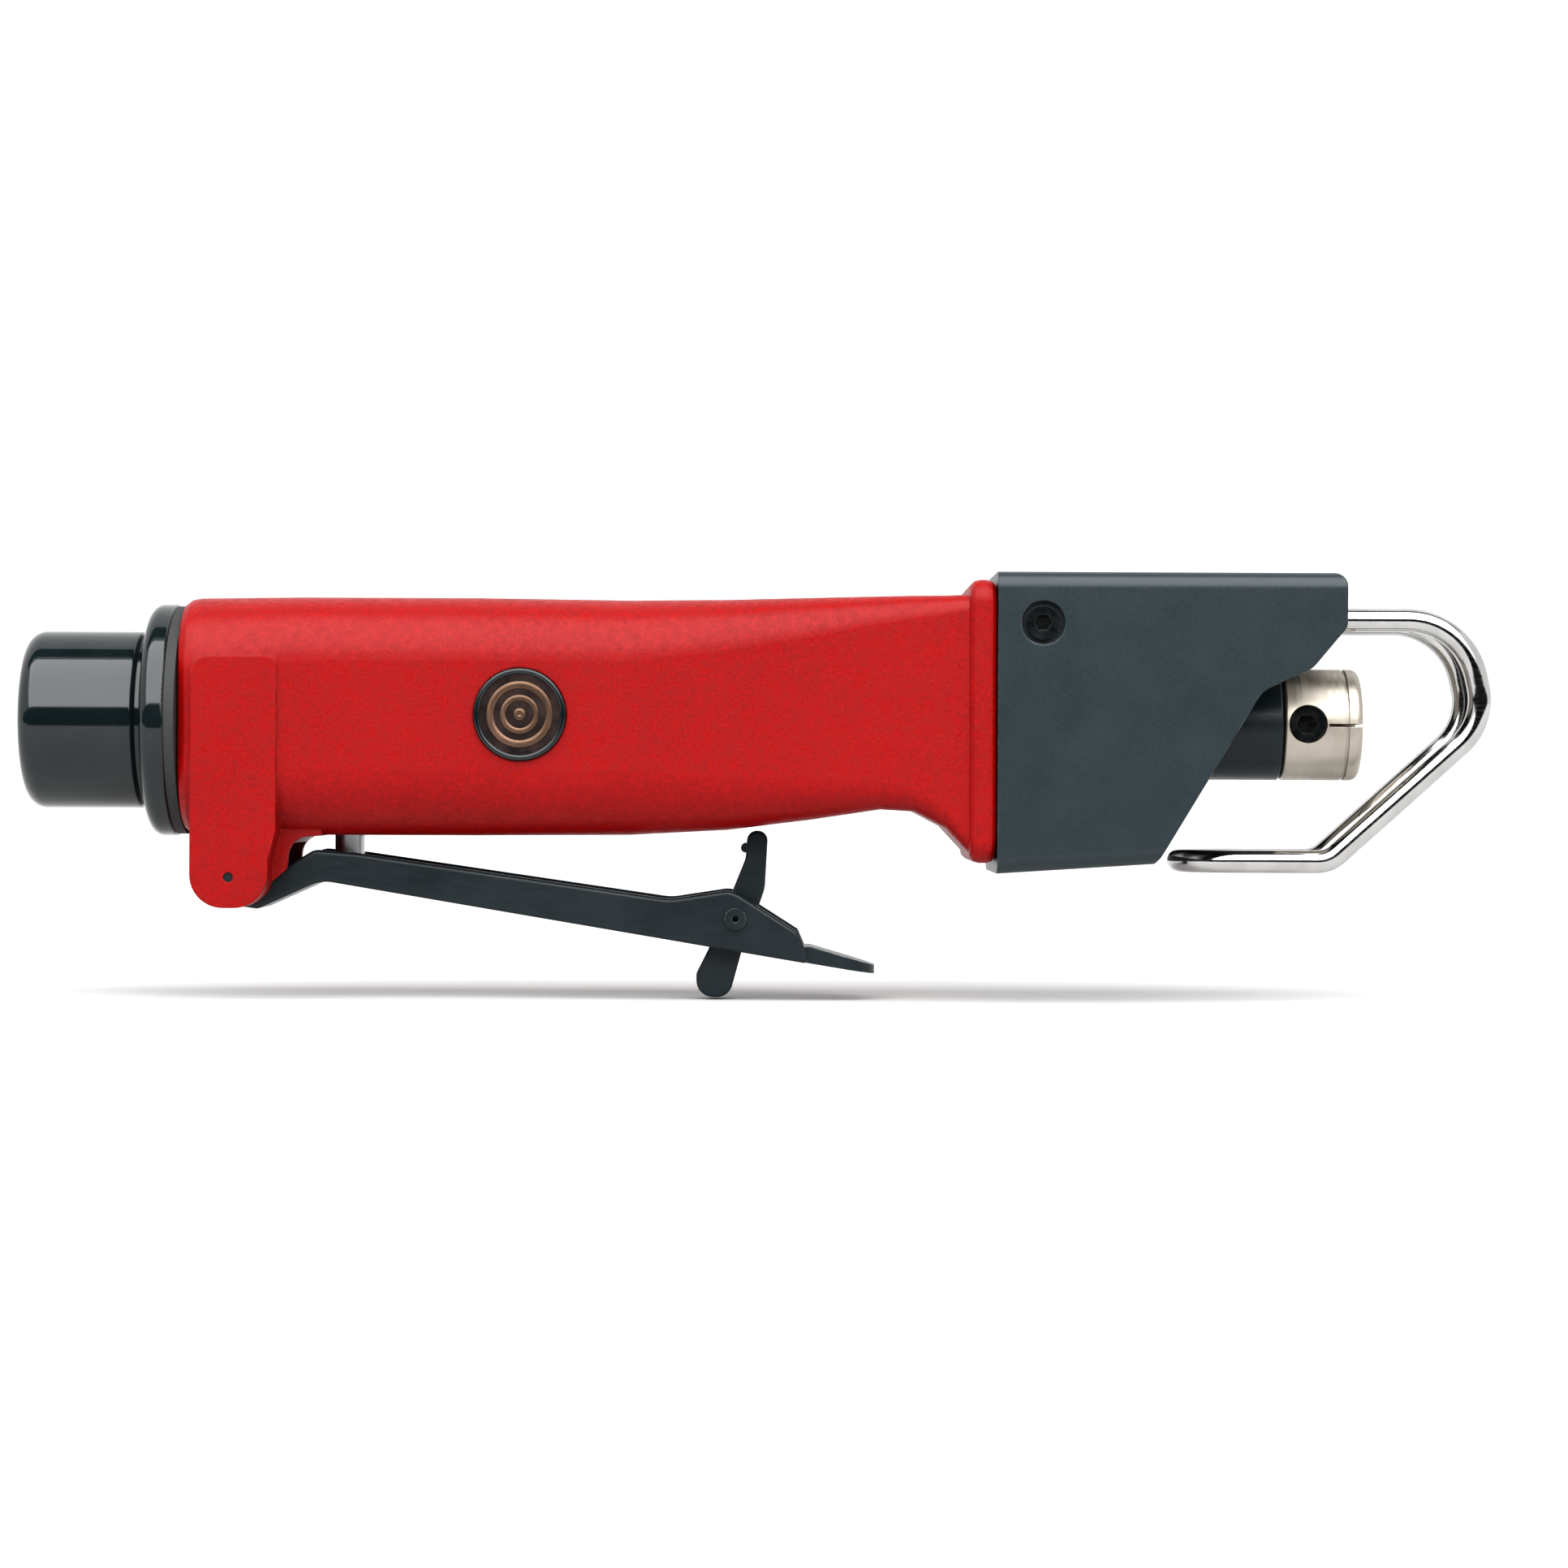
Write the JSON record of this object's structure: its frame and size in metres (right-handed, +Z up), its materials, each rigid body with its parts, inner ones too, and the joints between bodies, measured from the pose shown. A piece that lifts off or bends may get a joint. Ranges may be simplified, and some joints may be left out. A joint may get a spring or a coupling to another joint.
{
  "type": "pneumatic reciprocating saw",
  "caption": "In-line pneumatic reciprocating saw with red grip, throttle lever with lock-off latch, rear exhaust cap, dark nose guard, silver blade chuck and bent-wire guard.",
  "frame": {"origin": "centre of the air inlet's mouth, on the tool's axis", "axes": "+X along the tool towards the blade, +Z up, away from the throttle lever"},
  "size_m": [0.2414, 0.039, 0.0699],
  "materials": {
    "red_paint": "fine textured semi-gloss paint",
    "black_gloss": "polished",
    "black_rubber": "matte",
    "slate_coat": "fine satin coat",
    "dark_steel": "black oxide",
    "nickel": "turned nickel plate",
    "bright_wire": "polished",
    "steel": "ground",
    "brass": "turned",
    "aluminium": "machined",
    "badge": "polished",
    "felt": "pressed felt"
  },
  "bodies": {
    "grip": {"inlet_bushing": "steel", "inlet_screen": "brass", "exhaust_cap": "black_gloss", "exhaust_muffler": "felt", "exhaust_collar": "black_gloss", "rear_gasket": "black_rubber", "motor_housing": "red_paint", "badge": "badge", "throttle_valve_bushing": "dark_steel", "valve_bushing_oring": "black_rubber", "throttle_valve_spring": "steel", "lever_pin": "dark_steel", "valve_chest": "steel", "valve_plate": "steel", "cylinder": "steel", "piston_buffer": "black_rubber", "front_head": "aluminium", "rod_bushing": "brass", "rod_seal": "black_rubber", "nose_sleeve": "dark_steel", "sleeve_wiper": "black_rubber", "nose_screws": "dark_steel", "guard_mount_block": "aluminium", "wire_set_screws": "dark_steel", "guard": "slate_coat", "guard_screws": "dark_steel", "wire_guard": "bright_wire"},
    "lever": {"throttle_lever": "dark_steel", "latch_pin": "dark_steel", "latch_spring": "steel"},
    "latch": {"safety_latch": "dark_steel"},
    "valve": {"throttle_valve_stem": "steel", "throttle_valve_seal": "black_rubber"},
    "ram": {"piston": "steel", "piston_rod": "steel", "blade_chuck": "nickel", "blade_clamp_screw": "dark_steel"},
    "shuttle": {"shuttle_valve": "steel"}
  },
  "joints": [
    {"name": "lever_hinge", "type": "hinge", "parent": "grip", "child": "lever", "pos_m": [0.0353, 0, -0.0257], "axis": [0, -1, 0], "range_deg": [0, 6], "stiffness_Nm_per_rad": 1.5, "springref_deg": -8.59},
    {"name": "latch_hinge", "type": "hinge", "parent": "lever", "child": "latch", "pos_m": [0.1174, 0, -0.0324], "axis": [0, 1, 0], "range_deg": [0, 76], "stiffness_Nm_per_rad": 0.005, "springref_deg": -11.46},
    {"name": "valve_slide", "type": "slide", "parent": "grip", "child": "valve", "axis": [0, 0, 1], "range_m": [0, 0.0019], "deforming": ["throttle_valve_spring"]},
    {"name": "ram_slide", "type": "slide", "parent": "grip", "child": "ram", "axis": [1, 0, 0], "range_m": [0, 0.0095]},
    {"name": "shuttle_slide", "type": "slide", "parent": "grip", "child": "shuttle", "axis": [1, 0, 0], "range_m": [0, 0.0013]}
  ],
  "couplings": [
    {"joint": "latch_hinge", "follows": "lever_hinge", "ratio": 12.5},
    {"joint": "valve_slide", "follows": "lever_hinge", "m_per_rad": 0.0179}
  ]
}
